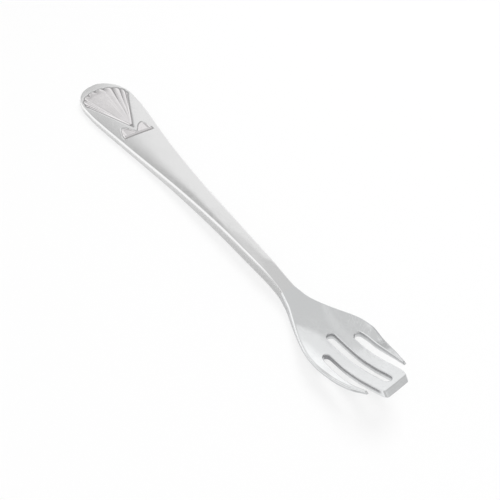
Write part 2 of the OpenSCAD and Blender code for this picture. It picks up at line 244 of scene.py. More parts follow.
def fan_gap(x, y):
    """Distance outside the fan's outline, or less than 0 inside it."""
    along, across = x - FAN_X, np.abs(y)
    turn = np.arctan2(across, -along)
    bulge = SCALLOP_D * rib_bulge((turn / FAN_SPREAD + 1) / 2)
    behind = FAN_UPRIGHT * along - FAN_LEAN * across
    side = FAN_UPRIGHT * across + FAN_LEAN * along - FAN_R
    past_hinge = np.hypot(across, along - FAN_L)
    return np.where(behind < 0, np.hypot(across, along) - FAN_R - bulge,
                    np.where(behind > FAN_UPRIGHT * FAN_L, past_hinge, side))


def foot_gap(x, y):
    """Distance outside the foot. The ears' upper edge leans, so a distance along the fork counts
    only in part."""
    far = np.abs(y)
    upper = ear_curve(np.minimum(far, FOOT_W / 2))
    return np.maximum(np.maximum(EAR_LEAN_SHARE * (upper - x), x - FOOT_X), far - FOOT_W / 2)


def groove(x, y):
    """Share of the groove's depth: all of it at the shell's outline and under the shell, but
    less along the fan's worn right side."""
    away = np.clip(np.minimum(fan_gap(x, y), foot_gap(x, y)) / GROOVE_W, 0, 1)
    worn = np.clip((x - FAN_X) / FAN_R, 0, 1) * (y < 0) * (x < HINGE_X) * (1 - WORN_SIDE_SHARE)
    return (1 - away * away) ** 2 * (1 - worn)


print("middle of the fan is", round(float(-fan_gap(FAN_X, 0.0)), 2), "mm inside its outline")

# %% [markdown]
# ## The two faces of the sheet
# The top face has the height curve along the fork and a dish across the bowl. Polishing has
# crowned the handle: its top is nearly flat at the broad end and rounder towards the neck, where
# it leans about 12 degrees at the rims, and that shows as a soft band in the reflection. The rim
# is rounder on the handle than at the bowl, and crisper on the +Y side. The underside lies a
# thickness below the top, measured square to the slope. A Solidify modifier could do that too,
# but the tines' points and the bowl's rim are thinner than the rest.

# %% Points on the top and on the underside
HANDLE_RIM_R, STEM_RIM_R, BOWL_RIM_R, UNDER_RIM_R, SLOT_R, TIP_R = 0.7, 0.55, 0.5, 0.5, 0.15, 0.3
SHARP_SIDE_SHARE, SIDE_BLEND_W, END_CROWN = 0.5, 2, 0.2
PAD_LATE_X, STEM_LOW_X, STEM_MID_X, STEM_HIGH_X = 0.7 * PAD_L, 1.2 * PAD_L, 1.5 * PAD_L, 1.85 * PAD_L
rim_curve = Curve([(0, HANDLE_RIM_R), (STEM_LOW_X, HANDLE_RIM_R), (STEM_HIGH_X, STEM_RIM_R),
                   (LEVEL_END_X, STEM_RIM_R), (BOWL_X, BOWL_RIM_R), (TIP_X, BOWL_RIM_R)])
crown_curve = Curve([(0, 0.01), (PAD_LATE_X, 0.012), (PAD_L, 0.03), (STEM_MID_X, 0.07),
                     (STEM_HIGH_X, 0.12), (LEVEL_X, 0.11), (LEVEL_END_X, 0.085), (BOWL_X, 0),
                     (TIP_X, 0)])


def sheet_h(x, y):
    """Height of the top face before polishing."""
    return height_curve(x) + dish_curve(x) * (2 * y / HEAD_W) ** 2


def crown(x, y):
    """How far polishing has lowered the face towards the rims and the round end."""
    half = np.maximum(half_width(np.maximum(x, END_L)), POINT_W)
    lean = np.minimum(1, np.abs(y) / half) ** 2
    return crown_curve(x) * half * lean + END_CROWN * np.clip(1 - x / END_L, 0, 1) ** 2


def sheet_t(x, y):
    """Thickness of the sheet, less at the tines' points and at the bowl's rim."""
    on_tine = (x > SIDE_ROOT_X) & (np.abs(y) > SIDE_MID)
    point_thin = np.where(on_tine, (1 - POINT_T / thick_curve(OUTER_X)) * point_way(x) ** 2, 0)
    rim_thin = RIM_THIN_SHARE * dish_curve(x) / DISH_D * (2 * y / HEAD_W) ** 2
    return thick_curve(x) * (1 - point_thin) * (1 - rim_thin)


def softening(x, y, rim_r):
    """How far the rounded edges fall below the face."""
    fall = 0
    for gap, radius in zip(edge_gaps(x, y), (rim_r, SLOT_R, TIP_R)):
        r = np.minimum(radius, EDGE_SHARE * sheet_t(x, y))
        reach = np.clip(r - gap, 0, r)
        fall = np.maximum(fall, r - np.sqrt(r * r - reach * reach))
    return fall


def metal_top(x, y):
    """Height of the polished face, with its rounded edges and the groove."""
    sharper = np.clip(0.5 + y / SIDE_BLEND_W, 0, 1) * (1 - SHARP_SIDE_SHARE)
    edge = softening(x, y, rim_curve(x) * (1 - sharper))
    return sheet_h(x, y) - crown(x, y) - edge - GROOVE_D * groove(x, y)


def top_points(places):
    """Points on the polished face."""
    x, y = places[..., 0], places[..., 1]
    return np.stack([x, y, metal_top(x, y)], -1)


def under_points(places):
    """Points on the underside, square below the same places."""
    x, y = places[..., 0], places[..., 1]
    s = height_curve.slope(x)
    t = sheet_t(x, y) / np.hypot(1, s)
    z = np.maximum(0, sheet_h(x, y) - t + softening(x, y, UNDER_RIM_R))
    return np.stack([x + t * s, y, z], -1)


FORK_L = float(under_points(np.array([TIP_X, 0.0]))[0])
print("overall length:", round(FORK_L, 3), "mm")


def to_frame(points):
    """From the fork's own millimetres to the part's frame, in metres."""
    return (points - np.array([FORK_L / 2, 0, 0])) * MM


# %% [markdown]
# ## One skin, many pieces
# The part's nodes are regions of one sheet, so the fine pieces are too. Each is a grid of places
# with a top, an underside and four walls. Walls where two pieces meet are joints inside the
# metal. Marks at each point say where it lies: in the groove, in a slot or along the +Y tine's
# rim, on a wall or at a rim. The first three bring painted shade and a duller finish, and the rim
# a smoother polish. Painted pictures could say that as well, but they would need unwrapping.

# %% Collect the pieces' faces
WALL_SHARES = (0.1, 0.35, 0.65, 0.9)
pieces = {}


def around(grid):
    """The values at a grid's sides, in turn: right, front, left and back."""
    return np.concatenate([grid[:-1, 0], grid[-1, :-1], grid[:0:-1, -1], grid[0, :0:-1]])


def quads(a, b, c, d):
    """Faces from four grids of their corners."""
    return np.stack([a.ravel(), b.ravel(), c.ravel(), d.ravel()], -1)


def slab(name, top, under, joints, marks):
    """Keeps a closed piece between two grids of points. joints says for each side, or for each
    stretch of it, whether it meets another piece there. marks are values for the painted shade and
    the finish: on the top, on each ring down the walls, and below."""
    n, m = top.shape[0] - 1, top.shape[1] - 1
    ids = np.arange((n + 1) * (m + 1)).reshape(n + 1, m + 1)
    low = ids + ids.size
    loop = around(ids)
    rings = [2 * ids.size + k * len(loop) + np.arange(len(loop)) for k in range(len(WALL_SHARES))]
    ring_points = [between(around(top), around(under), share) for share in WALL_SHARES]
    sides = (("right", n), ("front", m), ("left", n), ("back", m))
    meets = np.concatenate([np.broadcast_to(joints.get(side, False), count)
                            for side, count in sides])

    outer = [quads(ids[:-1, :-1], ids[1:, :-1], ids[1:, 1:], ids[:-1, 1:]),
             quads(low[:-1, :-1], low[:-1, 1:], low[1:, 1:], low[1:, :-1])]
    inner = []
    levels = [loop] + rings + [around(low)]
    for upper, lower in zip(levels, levels[1:]):
        wall = quads(lower, np.roll(lower, -1), np.roll(upper, -1), upper)
        outer.append(wall[~meets])
        inner.append(wall[meets])
    pieces[name] = {"points": np.concatenate([top.reshape(-1, 3), under.reshape(-1, 3)]
                                             + ring_points),
                    "outer": np.concatenate(outer), "inner": np.concatenate(inner),
                    "marks": {key: np.concatenate([on_top.ravel(), below.ravel()]
                                                  + [around(ring) for ring in on_walls])
                              for key, (on_top, on_walls, below) in marks.items()}}
    print(name, "has", sum(len(f) for f in outer + inner), "faces")


RIM_MARK_W, SLOT_MARK_W, TINE_RIM_W, WALL_RIM_W = 1.2, 0.05, 0.35, 0.2
# Painted shade inside the slots and along the +Y tine's rim: how dark each is painted.
MID_SLOT_SHADE, OPEN_SLOT_SHADE, TINE_RIM_SHADE = 0.9, 0.45, 0.55
# Painted shade on the outer walls: how dark they are painted on the handle, the neck and the tines,
# and at the blunt tip.
HANDLE_WALL_SHADE, NECK_WALL_SHADE, TINE_WALL_SHADE, TIP_WALL_SHADE = 0.5, 0.8, 0.4, 0.1
SLOT_DEPTH_SHARES, SLOT_WALL_SHARE = (1, 0.85, 0.1, 0), 0.2
ROOT_SHADE_L, ROOT_SHADE_SHARE = 4.5, 0.9
WALLS = len(WALL_SHARES)
# How strongly painted shade darkens the outer walls along the fork: less on the handle and towards
# the tines' points, most at the tines' roots.
wall_shade_curve = Curve([(0, HANDLE_WALL_SHADE), (LEVEL_X / 2, HANDLE_WALL_SHADE),
                    (LEVEL_X, NECK_WALL_SHADE), (SIDE_ROOT_X, 1), (TIP_X, TINE_WALL_SHADE)])


def sheet_piece(name, places, joints):
    """A region of the sheet. Its marks say how deep it is in the groove, how much painted shade
    darkens it inside a slot and along the +Y tine's rim, how much painted shade darkens and dulls
    it on the outer wall and just above it, and how near it is to a rim."""
    x, y = places[..., 0], places[..., 1]
    far = np.abs(y)
    rim, slot, tip = edge_gaps(x, y)
    to_corner = np.clip((CORNER_X - x) / TIP_CORNER_R, 0, 1)
    # Painted shade: the slots' walls are painted dark, most near their top and near the inner tines'
    # roots, and so is a strip along the +Y tine's rim.
    darkness = np.where(far > SIDE_MID, OPEN_SLOT_SHADE,
                        np.where(far < MID_SLOT_W, MID_SLOT_SHADE, to_corner))
    slot_shade = np.where(slot < SLOT_MARK_W, darkness, 0)
    root_shade = np.clip(1 - (x - SIDE_ROOT_X) / ROOT_SHADE_L, 0, 1) * ROOT_SHADE_SHARE
    root_shade = np.where((far > MID_SLOT_W) & (far < SIDE_MID), root_shade, 0)
    slot_wall_shade = [slot_shade * np.maximum(share, root_shade) for share in SLOT_DEPTH_SHARES]
    tine_rim_shade = np.clip(1 - rim / TINE_RIM_W, 0, 1) * np.clip(x - SIDE_ROOT_X, 0, 1) * (y > 0)
    on_tip = np.where((tip < SLOT_MARK_W) | (x > CORNER_X), TIP_WALL_SHADE, 1)
    # Painted shade: the outer walls are painted darker, less at the blunt tip and in the slots, and
    # so is a thin strip of the handle's and the neck's top along the rim.
    wall_shade = wall_shade_curve(x) * on_tip * np.where(slot < SLOT_MARK_W, SLOT_WALL_SHARE, 1)
    above_wall_shade = wall_shade_curve(x) * np.clip(1 - rim / WALL_RIM_W, 0, 1) * (x < BOWL_X)
    at_rim = np.clip(1 - np.minimum(rim, tip) / RIM_MARK_W, 0, 1)
    marks = {"groove": [groove(x, y), [0 * x] * WALLS, 0 * x],
             "slot": [tine_rim_shade * TINE_RIM_SHADE, slot_wall_shade, 0 * x],
             "wall": [above_wall_shade, [wall_shade] * WALLS, 0 * x],
             "rim": [at_rim, [at_rim] * WALLS, at_rim]}
    slab(name, top_points(places), under_points(places), joints, marks)


# %% [markdown]
# ## Places on the sheet
# Columns run the whole length of the fork and end at the tines' roots, so they crowd where the
# slots begin and along the rims, where the rounded edges need them. A Boolean could cut the
# slots out of a plain grid, but it would leave ragged faces on the polished top.

# %% Columns from the tines' roots
TINE_STEPS = 18
ARC_STEPS = 20
crowded = (1 - np.cos(np.pi * np.arange(TINE_STEPS + 1) / TINE_STEPS)) / 2


def mirrored(places):
    """The same places on the other side of the fork."""
    return places[..., ::-1, :] * np.array([1, -1])


quarter = np.pi * np.arange(ARC_STEPS // 2 + 1) / ARC_STEPS
half_turn = np.pi * np.arange(ARC_STEPS + 1) / ARC_STEPS
mid_arc = np.stack([MID_ROOT_X - MID_SLOT_W / 2 * np.cos(quarter),
                    MID_SLOT_W / 2 * np.sin(quarter)], -1)
root_x = between(MID_ROOT_X, SIDE_ROOT_X, crowded)
inner_root = np.stack([root_x, between(mid_half(root_x), BLADE_W / 2, crowded)], -1)
side_arc = np.stack([SIDE_ROOT_X - SIDE_SLOT_W / 2 * np.sin(half_turn),
                     SIDE_MID - SIDE_SLOT_W / 2 * np.cos(half_turn)], -1)
outer_root = np.stack([np.full(TINE_STEPS + 1, SIDE_ROOT_X),
                       between(SIDE_MID + SIDE_SLOT_W / 2, HEAD_W / 2, crowded)], -1)
front_half = np.concatenate([mid_arc, inner_root[1:], side_arc[1:], outer_root[1:]])
front = np.concatenate([mirrored(front_half[1:]), front_half])
root_flags = np.concatenate([np.zeros(len(mid_arc) - 1, bool), np.ones(TINE_STEPS, bool),
                             np.zeros(ARC_STEPS, bool), np.ones(TINE_STEPS, bool)])
front_meets = np.concatenate([root_flags[::-1], root_flags])
width_shares = front[:, 1] / half_width(front[:, 0])
print("columns across the fork:", len(front))


def full_rows(places):
    """Rows across the whole fork at places along it."""
    x = np.repeat(np.asarray(places, float)[:, None], len(width_shares), 1)
    return np.stack([x, width_shares * half_width(x)], -1)


# %% [markdown]
# ## Handle, neck and head
# One long grid could make the whole fork, but then the part's regions would be lost, so each gets
# a grid of its own. The handle's round end has rows that crowd towards its rim. The bowl's last
# rows crowd towards the slots, so that the metal rolls over into them.

# %% Grids of the sheet's pieces
END_ROWS, PAD_ROWS, STEM_ROWS, NECK_ROWS, TINE_ROWS = 70, 180, 110, 60, 60
FIRST_ANGLE, LIP_MARGIN, TINE_CROWDING = 4, 0.5, 1.3
end_angles = np.radians(np.linspace(FIRST_ANGLE, 90, END_ROWS))
round_places = END_L * (1 - np.cos(end_angles))
pad_places = np.concatenate([round_places, np.linspace(END_L, PAD_L, PAD_ROWS)[1:]])
sheet_piece("handle_end_metal", full_rows(pad_places), {"front": True})
sheet_piece("handle_stem_metal", full_rows(np.linspace(PAD_L, LEVEL_X, STEM_ROWS)),
            {"back": True, "front": True})
sheet_piece("neck_metal", full_rows(np.linspace(LEVEL_X, BOWL_X, NECK_ROWS)),
            {"back": True, "front": True})
LIP_GAPS = np.array([0, 0.02, 0.07, 0.14, 0.23, 0.34, 0.47, 0.62, 0.8, 1.05, 1.35, 1.7, 2.1, 2.6,
                     3.2, 3.8, 4.5, 5.2, 6, 6.8, 7.6, 8.4, 9.2, 10, 10.8, 11.5, 12.2, 12.8, 13.3])
bowl_shares = np.append(1 - LIP_GAPS / (SIDE_ROOT_X - BOWL_X - LIP_MARGIN), 0)[::-1]
bowl_x = between(BOWL_X, front[:, 0], bowl_shares[:, None])
bowl_places = np.stack([bowl_x, width_shares * half_width(bowl_x)], -1)
sheet_piece("bowl_metal", bowl_places, {"back": True, "front": front_meets})

tine_shares = np.linspace(0, 1, TINE_ROWS)[:, None]
outer_x = between(SIDE_ROOT_X, OUTER_X, 1 - (1 - tine_shares) ** TINE_CROWDING) + 0 * crowded
outer_places = np.stack([outer_x, between(outer_tine_edge(outer_x), half_width(outer_x),
                                          crowded)], -1)
inner_x = between(inner_root[:, 0], BAR_X, tine_shares)
inner_places = np.stack([inner_x, between(mid_half(inner_x), blade_half(inner_x), crowded)], -1)
sheet_piece("tine_outer_left_metal", outer_places, {"back": True})
sheet_piece("tine_outer_right_metal", mirrored(outer_places), {"back": True})
sheet_piece("tine_inner_left_metal", inner_places, {"back": True, "front": True})
sheet_piece("tine_inner_right_metal", mirrored(inner_places), {"back": True, "front": True})

bar_side = np.stack([np.full(TINE_STEPS + 1, BAR_X),
                     between(MID_SLOT_END_W / 2, float(blade_half(BAR_X)), crowded)], -1)
bar_arc = np.stack([BAR_X + MID_SLOT_END_W / 2 * np.cos(half_turn - np.pi / 2),
                    MID_SLOT_END_W / 2 * np.sin(half_turn - np.pi / 2)], -1)
bar_back = np.concatenate([mirrored(bar_side[1:]), bar_arc, bar_side[1:]])
bar_meets = np.concatenate([np.ones(TINE_STEPS, bool), np.zeros(ARC_STEPS, bool),
                            np.ones(TINE_STEPS, bool)])
bar_shares = crowded[:, None]
bar_x = between(bar_back[:, 0], TIP_X, bar_shares)
bar_y = bar_back[:, 1] / blade_half(bar_back[:, 0]) * blade_half(bar_x)
sheet_piece("tip_bar_metal", np.stack([bar_x, bar_y], -1), {"back": bar_meets})


# %% [markdown]
# ## The shell
# The ribs open from the hinge like the sticks of a fan. They are low and round, and the flutes
# between them deepen towards the rim, where each ends in a small notch. The flutes are deep at
# both sides of the fan. In the middle, a little towards the -Y side, they are nearly gone, worn
# by polishing and by thumbs. The whole relief is lower here than in the part, as on a worn fork.
# Where it meets the groove it rolls over softly. Displacement from a texture could raise it, but
# a grid that follows the ribs needs far fewer faces.

# %% The fan and its foot
RIB_STEPS, FAN_ROWS, ROLL_R, SINK_D = 18, 70, 0.6, 0.05
FAN_SHARE, EAR_SHARE = 0.6, 0.45
FAN_START_SHARE, NOTCH_START_SHARE, NOTCH_RISE_SHARE = 0.05, 0.9, 0.08
FAN_RISE_SHARES = [(0.05, 0.4), (0.1, 0.5), (0.2, 0.75), (0.32, 0.9), (0.45, 1), (0.7, 1),
                   (0.85, 0.9), (1, 0.55)]
FLUTE_SHARES = [(0.05, 0), (0.2, 0), (0.32, 0.1), (0.45, 0.35), (0.58, 0.6), (0.7, 0.8),
                (0.81, 0.95), (1, 1)]
FLUTE_WEAR_SHARES = [(0, 0.9), (0.13, 0.85), (0.24, 0.4), (0.31, 0.01), (0.5, 0.01), (0.56, 0.12),
                     (0.63, 0.95), (1, 1)]
FLUTE_SHARPNESS = 1.7
SIDE_COLUMN_SHARES = np.array([0.0012, 0.003, 0.0055])


def roll(gap):
    """Share of the relief's height at a distance inside its outline."""
    return np.sin(np.pi / 2 * np.clip(gap / ROLL_R, 0, 1))


def relief_piece(name, places, height, marks):
    """A closed piece that stands on the sheet's top face and sinks a little into it."""
    x, y = places[..., 0], places[..., 1]
    ground = metal_top(x, y)
    top = np.stack([x, y, ground + height], -1)
    under = np.stack([x, y, ground - SINK_D], -1)
    slab(name, top, under, {}, marks)


fan_way = between(FAN_START_SHARE, 1, np.sin(np.linspace(0, np.pi / 2, FAN_ROWS)))[:, None]
fan_s = np.linspace(0, 1, RIBS * RIB_STEPS + 1)
fan_s = np.sort(np.concatenate([fan_s, SIDE_COLUMN_SHARES, 1 - SIDE_COLUMN_SHARES]))
fan_turn = FAN_SPREAD * (2 * fan_s - 1)
fan_edge_r = FAN_R + SCALLOP_D * rib_bulge(fan_s)
fan_x = between(HINGE_X, FAN_X - fan_edge_r * np.cos(fan_turn), fan_way)
fan_y = fan_edge_r * np.sin(fan_turn) * fan_way
flute_line = Curve(FLUTE_SHARES)(fan_way) * (1 - rib_bulge(fan_s)) ** FLUTE_SHARPNESS
notch = np.clip((fan_way - NOTCH_START_SHARE) / NOTCH_RISE_SHARE, 0, 1) * (1 - rib_bulge(fan_s))
flute = np.maximum(notch, flute_line * Curve(FLUTE_WEAR_SHARES)(fan_s))
fan_roll = roll(-fan_gap(fan_x, fan_y))
fan_rise = FAN_SHARE * FAN_H * Curve(FAN_RISE_SHARES)(fan_way)
fan_height = np.maximum(0, GROOVE_D + fan_rise - FLUTE_D * flute) * fan_roll
worn_side = np.where((fan_s < 0.5) & (fan_way < NOTCH_START_SHARE), WORN_SIDE_SHARE, 1)
# Painted shade: the flutes and the fan's edge, where it rolls into the groove, are painted darker,
# less on the worn side.
fan_shade = np.maximum(flute, (1 - fan_roll) * worn_side)
relief_piece("shell_fan_relief", np.stack([fan_x, fan_y], -1)[::-1], fan_height[::-1],
             {"groove": [fan_shade[::-1], [fan_shade[::-1]] * WALLS, fan_shade[::-1]]})

FOOT_ROWS, FOOT_COLUMNS, EAR_HOLLOW_SHARE, BAR_GROOVE_D, BAR_GROOVE_W = 50, 140, 0.45, 0.1, 0.3
FOOT_SHADE_SHARE = 0.5
foot_y = FOOT_W / 2 * np.sin(np.linspace(-np.pi / 2, np.pi / 2, FOOT_COLUMNS))
foot_way = (1 - np.cos(np.linspace(0, np.pi, FOOT_ROWS)))[:, None] / 2
foot_x = between(ear_curve(np.abs(foot_y)), FOOT_X, foot_way)
foot_y = np.broadcast_to(foot_y, foot_x.shape)
foot_inside = -foot_gap(foot_x, foot_y)
ear_hollow = EAR_HOLLOW_SHARE * np.clip((foot_inside - ROLL_R) / ROLL_R, 0, 1)
to_bar = foot_x - (FOOT_X - FOOT_BAR_W)
bar_groove = np.clip(1 - (to_bar / BAR_GROOVE_W) ** 2, 0, 1) ** 2
on_bar = np.clip(to_bar / BAR_GROOVE_W, 0, 1)
ear_height = EAR_SHARE * (EAR_H * (1 - ear_hollow * (1 - on_bar)) + FOOT_BAR_H * on_bar)
foot_roll = roll(foot_inside)
foot_height = (GROOVE_D + ear_height - BAR_GROOVE_D * bar_groove) * foot_roll
# Painted shade: the bar's groove and the foot's edge, where it rolls into the groove, are painted
# darker.
foot_shade = FOOT_SHADE_SHARE * np.maximum(bar_groove, 1 - foot_roll)
relief_piece("shell_foot_relief", np.stack([foot_x, foot_y], -1), foot_height,
             {"groove": [foot_shade, [foot_shade] * WALLS, foot_shade]})

# %% [markdown]
# ## Meshes with shared normals
# All pieces stay closed solids of their own. Smooth shading alone would show each piece's end as
# a seam, so the normals come from the outer skin of the whole fork, as if it were one mesh, and
# each piece takes its share of them.

# %% Build the meshes
def face_normals(points, faces):
    """A vector square to each four-sided face, as long as twice its area."""
    a, b, c, d = (points[faces[:, k]] for k in range(4))
    return np.cross(c - a, d - b)


def unit_length(vectors):
    """The same directions, each one long."""
    return vectors / np.maximum(np.linalg.norm(vectors, axis=1, keepdims=True), TINY)


WELD_STEPS_PER_MM = 1e5
names = list(pieces)
offsets = np.cumsum([0] + [len(pieces[n]["points"]) for n in names])
all_points = np.concatenate([pieces[n]["points"] for n in names])
welded = np.round(all_points * WELD_STEPS_PER_MM).astype(np.int64)
shared = np.unique(welded, axis=0, return_inverse=True)[1].ravel()
sums = np.zeros((shared.max() + 1, 3))
for name, start in zip(names, offsets):
    faces = pieces[name]["outer"] + start
    normals = unit_length(face_normals(all_points, faces))
    for k in range(4):
        before = unit_length(all_points[faces[:, k - 1]] - all_points[faces[:, k]])
        after = unit_length(all_points[faces[:, (k + 1) % 4]] - all_points[faces[:, k]])
        corner = np.arccos(np.clip((before * after).sum(1), -1, 1))
        np.add.at(sums, shared[faces[:, k]], normals * corner[:, None])
skin_normals = unit_length(sums)


def node_of(name):
    """The part's node that a piece stands for."""
    return name.removesuffix("_metal").removesuffix("_relief")


def build(name, start):
    """Makes a piece's mesh, with its marks and its share of the fork's normals."""
    piece = pieces[name]
    faces = np.concatenate([piece["outer"], piece["inner"]])
    mesh = bpy.data.meshes.new(name)
    mesh.from_pydata(to_frame(piece["points"]).tolist(), [], faces.tolist())
    mesh.polygons.foreach_set("use_smooth", [True] * len(faces))
    outer_loops = skin_normals[shared[piece["outer"] + start]].reshape(-1, 3)
    inner_loops = np.repeat(unit_length(face_normals(piece["points"], piece["inner"])), 4, 0)
    mesh.normals_split_custom_set(np.concatenate([outer_loops, inner_loops]).tolist())
    for mark, values in piece["marks"].items():
        given = mesh.attributes.new(mark, "FLOAT", "POINT")
        given.data.foreach_set("value", values.astype(np.float32))
    made = bpy.data.objects.new(name, mesh)
    bpy.context.scene.collection.objects.link(made)
    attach(made, "root")
    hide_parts(node_of(name))
    return made


built = {name: build(name, start) for name, start in zip(names, offsets)}
print("pieces:", len(built), "faces:", sum(len(o.data.polygons) for o in built.values()))

# %% [markdown]
# ## Sums of sockets
# A finish is a small calculation at each point of the surface. It could be drawn by hand in the
# Shader Editor, but sums are easier to read as Python. A Wire wraps one output socket, and each
# sum of wires adds its Math node. Any other node comes from add, which takes the node's type,
# its settings and what goes into its sockets.

# %% Wires and nodes
class Wire:
    """One output of a shader node, for use in sums."""

    def __init__(self, tree, socket):
        self.tree, self.socket = tree, socket

    def maths(self, operation, *others):
        """A Math node with this value as its first."""
        return self.tree.add("ShaderNodeMath", {"operation": operation},
                             dict(enumerate((self, *others))))

    def __add__(self, other):
        return self.maths("ADD", other)

    def __sub__(self, other):
        return self.maths("SUBTRACT", other)

    def __rsub__(self, other):
        return self.tree.add("ShaderNodeMath", {"operation": "SUBTRACT"}, {0: other, 1: self})

    def __mul__(self, other):
        return self.maths("MULTIPLY", other)

    __radd__ = __add__
    __rmul__ = __mul__

    def larger(self, other):
        """The larger of two values."""
        return self.maths("MAXIMUM", other)

    def step(self, low, high):
        """Rises smoothly from 0 to 1 while this value goes from low to high."""
        values = {"Value": self, "From Min": low, "From Max": high}
        return self.tree.add("ShaderNodeMapRange", {"interpolation_type": "SMOOTHSTEP"}, values)


class Tree:
    """The nodes of a material or of the world."""

    def __init__(self, owner):
        owner.use_nodes = True
        self.nodes, self.links = owner.node_tree.nodes, owner.node_tree.links
        self.nodes.clear()

    def add(self, kind, settings=None, values=None, out=0):
        """A new node, as a wire from one of its outputs."""
        node = self.nodes.new(kind)
        for name, value in (settings or {}).items():
            setattr(node, name, value)
        for name, value in (values or {}).items():
            if isinstance(value, Wire):
                self.links.new(value.socket, node.inputs[name])
            else:
                node.inputs[name].default_value = value
        return Wire(self, node.outputs[out]) if len(node.outputs) else node

    def mix_colours(self, share, a, b):
        """Colour a where share is 0 and colour b where it is 1."""
        return self.add("ShaderNodeMix", {"data_type": "RGBA"}, {0: share, 6: a, 7: b}, out=2)

    def mark(self, name):
        """The value of one of the pieces' marks."""
        return self.add("ShaderNodeAttribute", {"attribute_name": name}, out="Fac")


# %% [markdown]
# ## Polished steel
# Stainless steel reflects more than half of the light, nearly without colour. It is set brighter
# here, at about four fifths, so that the fork looks light on its white floor. What makes it look
# real is how it is worn: long hairlines from the polishing belt, short scratches in many
# directions from other cutlery and faint clouds where fingers and cloths have been. The grooves,
# the flutes, the slots' walls and the outer walls are painted grey as painted shade, and are also
# duller. An Anisotropic setting could stretch the gloss across the hairlines, but it draws no
# single line. Here the hairlines are stretched noise, and the scratches are thin lines where such
# noise crosses a level. Both go into a bump and into the roughness.

# %% One steel, three finishes
HAIRLINE_L, HAIRLINE_W, SCRATCH_L, SCRATCH_W = 0.02, 0.00016, 0.012, 0.0011
SCRATCH_DEPTH, SCRATCH_LINE, CLOUD_SCALE = 0.000004, 0.008, 130
SCRATCH_WAYS = ((8, 0.42), (-23, 0.55), (51, 0.47), (-67, 0.58))
SMUDGE_EDGES, HAIRLINE_EDGES, GROOVE_EDGES = (0.45, 0.7), (0.55, 0.75), (0.1, 0.8)
STREAK_ROUGHNESS = 0.6
SMUDGE_ROUGH, SCRATCH_ROUGH, HAIRLINE_ROUGH, DULL_ROUGH, RIM_POLISH = 0.025, 0.05, 0.02, 0.3, 0.02
SMUDGE_SHARE, SCRATCH_SHARE, WORN_SHARE, WALL_SHADE_AND_DULL_SHARE = 0.35, 0.15, 0.96, 0.7
SLOT_SHADE_COLOUR = (0.3, 0.3, 0.31, 1)
MARKS = ("groove", "slot", "wall", "rim")


def stretched(tree, place, turn, long_size, fine_size, detail=2):
    """Noise in long thin streaks along a direction in the fork's plane, sizes in metres."""
    streaks = tree.add("ShaderNodeMapping", {"vector_type": "TEXTURE"},
                       {"Vector": place, "Rotation": (0, 0, math.radians(turn)),
                        "Scale": (long_size, fine_size, fine_size)})
    return tree.add("ShaderNodeTexNoise", None,
                    {"Vector": streaks, "Scale": 1, "Detail": detail,
                     "Roughness": STREAK_ROUGHNESS})


def thin_lines(noise, level, width):
    """Thin lines where the noise crosses a level."""
    return 1 - (noise - level).maths("ABSOLUTE").step(0, width)


def steel(name, tint, painted_shade_tint, roughness, hairlines):
    """Steel of a tint, painted a darker tint as painted shade where its marks say so, with hairlines
    of a given strength.
    """
    material = bpy.data.materials.new(name)
    tree = Tree(material)
    place = tree.add("ShaderNodeTexCoord", out="Object")
    belt = stretched(tree, place, 0, HAIRLINE_L, HAIRLINE_W)
    lines = None
    for turn, level in SCRATCH_WAYS:
        noise = stretched(tree, place, turn, SCRATCH_L, SCRATCH_W, detail=1)
        line = thin_lines(noise, level, SCRATCH_LINE)
        lines = line if lines is None else lines.larger(line)
    clouds = tree.add("ShaderNodeTexNoise", None,
                      {"Vector": place, "Scale": CLOUD_SCALE, "Detail": 3})
    smudge = clouds.step(*SMUDGE_EDGES)
    groove_mark, slot_shade_mark, wall_shade_mark, rim_mark = (tree.mark(n) for n in MARKS)
    # Painted shade: the groove, the slots' walls and the outer walls get the darker tint, and are
    # duller too.
    groove_shade = groove_mark.step(*GROOVE_EDGES)
    shaded_and_dull = groove_shade.larger(slot_shade_mark).larger(wall_shade_mark * WALL_SHADE_AND_DULL_SHARE)
    hairline = belt.step(*HAIRLINE_EDGES)
    rough = (roughness + smudge * SMUDGE_ROUGH + lines * SCRATCH_ROUGH
             + hairline * HAIRLINE_ROUGH + shaded_and_dull * DULL_ROUGH - rim_mark * RIM_POLISH)
    on_face = 1 - wall_shade_mark.larger(slot_shade_mark)
    relief = (belt * hairlines - lines) * on_face
    bump = tree.add("ShaderNodeBump", None, {"Strength": 1, "Distance": SCRATCH_DEPTH,
                                             "Height": relief})
    worn = tree.mix_colours(smudge * SMUDGE_SHARE + lines * SCRATCH_SHARE, (*tint, 1),
                            (*(WORN_SHARE * c for c in tint), 1))
    sides = tree.mix_colours(shaded_and_dull, worn, (*painted_shade_tint, 1))
    # Painted shade: the slots and the +Y tine's rim are painted dark grey.
    colour = tree.mix_colours(slot_shade_mark, sides, SLOT_SHADE_COLOUR)
    surface = tree.add("ShaderNodeBsdfPrincipled", None,
                       {"Base Color": colour, "Metallic": 1, "Roughness": rough, "Normal": bump})
    tree.add("ShaderNodeOutputMaterial", None, {"Surface": surface})
    print(name, "uses", len(tree.nodes), "nodes")
    return material


LOOKS = {
    "polished_steel": {"tint": (0.82, 0.82, 0.82), "painted_shade_tint": (0.48, 0.48, 0.48),
                       "roughness": 0.11, "hairlines": 0.5},
    "mirror_steel": {"tint": (0.81, 0.82, 0.825), "painted_shade_tint": (0.48, 0.48, 0.49),
                     "roughness": 0.07, "hairlines": 0.2},
    "relief_steel": {"tint": (0.83, 0.81, 0.815), "painted_shade_tint": (0.36, 0.35, 0.355),
                     "roughness": 0.11, "hairlines": 0.1},
}
finishes = {name: steel(name, **look) for name, look in LOOKS.items()}
slots = {row["node"]: row["material_slot"] for row in frame["record"]["subparts"]}
for name, piece in built.items():
    slot_name = slots[node_of(name)]
    piece.data.materials.append(finishes[slot_name])

